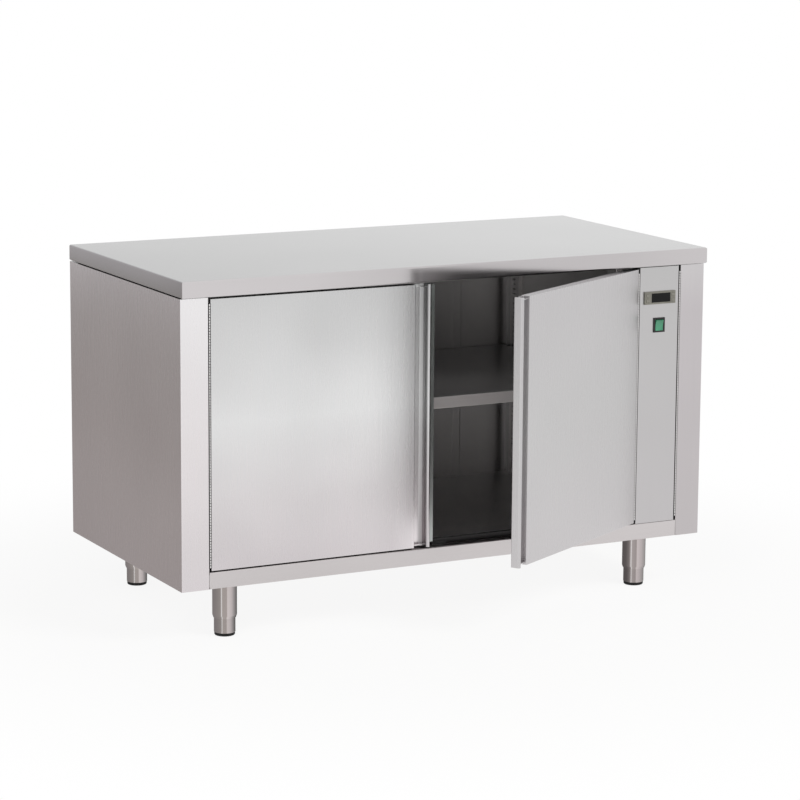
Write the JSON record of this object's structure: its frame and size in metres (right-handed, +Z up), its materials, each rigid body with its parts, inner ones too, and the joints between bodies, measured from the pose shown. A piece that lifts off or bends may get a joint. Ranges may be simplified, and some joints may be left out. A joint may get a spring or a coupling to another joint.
{
  "type": "plate warmer cabinet",
  "caption": "Free-standing stainless steel plate warming cabinet with hinged doors, a lift-out shelf, a side panel with controls and a fan heater.",
  "frame": {"origin": "on the floor, under the middle of the box that holds the cabinet with its right door standing open", "axes": "+X to the right along the front, +Y to the back, +Z up"},
  "size_m": [1.4, 0.9742, 0.853],
  "materials": {
    "worktop_steel": "fine brushed stainless steel",
    "body_steel": "satin stainless steel",
    "galvanised_steel": "zinc coated sheet",
    "chamber_steel": "satin stainless steel",
    "mineral_wool": "pressed mineral wool",
    "magnet_black": "moulded magnet holder",
    "hinge_steel": "rolled piano hinge",
    "door_steel": "fine brushed stainless steel",
    "panel_steel": "fine brushed stainless steel",
    "bezel_grey": "moulded, fine grain",
    "display_window": "dark clear plastic",
    "key_grey": "moulded",
    "switch_black": "moulded",
    "rocker_green": "clear green plastic",
    "heater_alloy": "oxidised heating rod",
    "motor_paint": "black lacquer",
    "fan_aluminium": "pressed sheet",
    "black_plastic": "moulded",
    "ivory_plastic": "moulded",
    "gland_grey": "moulded nylon",
    "leg_steel": "polished tube",
    "foot_steel": "turned and polished",
    "foot_rubber": "moulded"
  },
  "bodies": {
    "cabinet": {"worktop": "worktop_steel", "top_frame": "galvanised_steel", "side_panel_left": "body_steel", "side_panel_right": "body_steel", "back_panel": "body_steel", "base_pan": "body_steel", "liner_left": "chamber_steel", "liner_back": "chamber_steel", "divider_wall": "chamber_steel", "liner_floor": "chamber_steel", "liner_ceiling": "chamber_steel", "wall_insulation": "mineral_wool", "shelf_uprights": "chamber_steel", "shelf_clips": "chamber_steel", "magnetic_catches": "magnet_black", "hinge_left_frame_leaf": "hinge_steel", "hinge_left_pin": "hinge_steel", "hinge_right_frame_leaf": "hinge_steel", "hinge_right_pin": "hinge_steel", "hinge_panel_frame_leaf": "hinge_steel", "hinge_panel_pin": "hinge_steel", "heater_box": "galvanised_steel", "heating_element": "heater_alloy", "fan_motor": "motor_paint", "safety_thermostat": "black_plastic", "terminal_block": "ivory_plastic", "cable_gland": "gland_grey", "leg_sleeve_front_left": "leg_steel", "leg_sleeve_front_right": "leg_steel", "leg_sleeve_back_left": "leg_steel", "leg_sleeve_back_right": "leg_steel"},
    "left_door": {"hinge_left_door_leaf": "hinge_steel", "door_left_skin": "door_steel", "door_left_inner_pan": "door_steel", "door_left_core": "mineral_wool", "door_left_closing_strip": "door_steel"},
    "right_door": {"hinge_right_door_leaf": "hinge_steel", "door_right_skin": "door_steel", "door_right_inner_pan": "door_steel", "door_right_core": "mineral_wool"},
    "service_panel": {"service_panel": "panel_steel", "hinge_panel_leaf": "hinge_steel", "thermostat_body": "bezel_grey", "thermostat_window": "display_window", "switch_body": "switch_black"},
    "switch_rocker": {"switch_rocker": "rocker_green"},
    "shelf": {"shelf": "chamber_steel"},
    "fan_wheel": {"fan_wheel": "fan_aluminium"},
    "thermostat_key_1": {"thermostat_key_1": "key_grey"},
    "thermostat_key_2": {"thermostat_key_2": "key_grey"},
    "thermostat_key_3": {"thermostat_key_3": "key_grey"},
    "thermostat_key_4": {"thermostat_key_4": "key_grey"},
    "foot_front_left": {"foot_front_left": "foot_steel", "foot_cap_front_left": "foot_rubber"},
    "foot_front_right": {"foot_front_right": "foot_steel", "foot_cap_front_right": "foot_rubber"},
    "foot_back_left": {"foot_back_left": "foot_steel", "foot_cap_back_left": "foot_rubber"},
    "foot_back_right": {"foot_back_right": "foot_steel", "foot_cap_back_right": "foot_rubber"}
  },
  "joints": [
    {"name": "left_door_swing", "type": "hinge", "parent": "cabinet", "child": "left_door", "pos_m": [-0.62775, -0.1994, 0.4755], "axis": [0, 0, -1], "range_deg": [0, 110]},
    {"name": "right_door_swing", "type": "hinge", "parent": "cabinet", "child": "right_door", "pos_m": [0.51325, -0.1994, 0.4755], "axis": [0, 0, 1], "range_deg": [-30, 80]},
    {"name": "service_panel_swing", "type": "hinge", "parent": "cabinet", "child": "service_panel", "pos_m": [0.63025, -0.1994, 0.4755], "axis": [0, 0, 1], "range_deg": [0, 90]},
    {"name": "rocker_tilt", "type": "hinge", "parent": "service_panel", "child": "switch_rocker", "pos_m": [0.57205, -0.1989, 0.6675], "axis": [-1, 0, 0], "range_deg": [0, 16]},
    {"name": "shelf_lift", "type": "slide", "parent": "cabinet", "child": "shelf", "axis": [0, 0, 1], "range_m": [0, 0.15]},
    {"name": "fan_spin", "type": "hinge", "parent": "cabinet", "child": "fan_wheel", "pos_m": [0.54685, 0.1076, 0.4115], "axis": [1, 0, 0], "continuous": true},
    {"name": "key_1_press", "type": "slide", "parent": "service_panel", "child": "thermostat_key_1", "axis": [0, 1, 0], "range_m": [0, 0.0006], "stiffness_N_per_m": 200, "springref_m": -0.0005},
    {"name": "key_2_press", "type": "slide", "parent": "service_panel", "child": "thermostat_key_2", "axis": [0, 1, 0], "range_m": [0, 0.0006], "stiffness_N_per_m": 200, "springref_m": -0.0005},
    {"name": "key_3_press", "type": "slide", "parent": "service_panel", "child": "thermostat_key_3", "axis": [0, 1, 0], "range_m": [0, 0.0006], "stiffness_N_per_m": 200, "springref_m": -0.0005},
    {"name": "key_4_press", "type": "slide", "parent": "service_panel", "child": "thermostat_key_4", "axis": [0, 1, 0], "range_m": [0, 0.0006], "stiffness_N_per_m": 200, "springref_m": -0.0005},
    {"name": "foot_front_left_screw", "type": "slide", "parent": "cabinet", "child": "foot_front_left", "axis": [0, 0, -1], "range_m": [0, 0.03]},
    {"name": "foot_front_right_screw", "type": "slide", "parent": "cabinet", "child": "foot_front_right", "axis": [0, 0, -1], "range_m": [0, 0.03]},
    {"name": "foot_back_left_screw", "type": "slide", "parent": "cabinet", "child": "foot_back_left", "axis": [0, 0, -1], "range_m": [0, 0.03]},
    {"name": "foot_back_right_screw", "type": "slide", "parent": "cabinet", "child": "foot_back_right", "axis": [0, 0, -1], "range_m": [0, 0.03]}
  ]
}
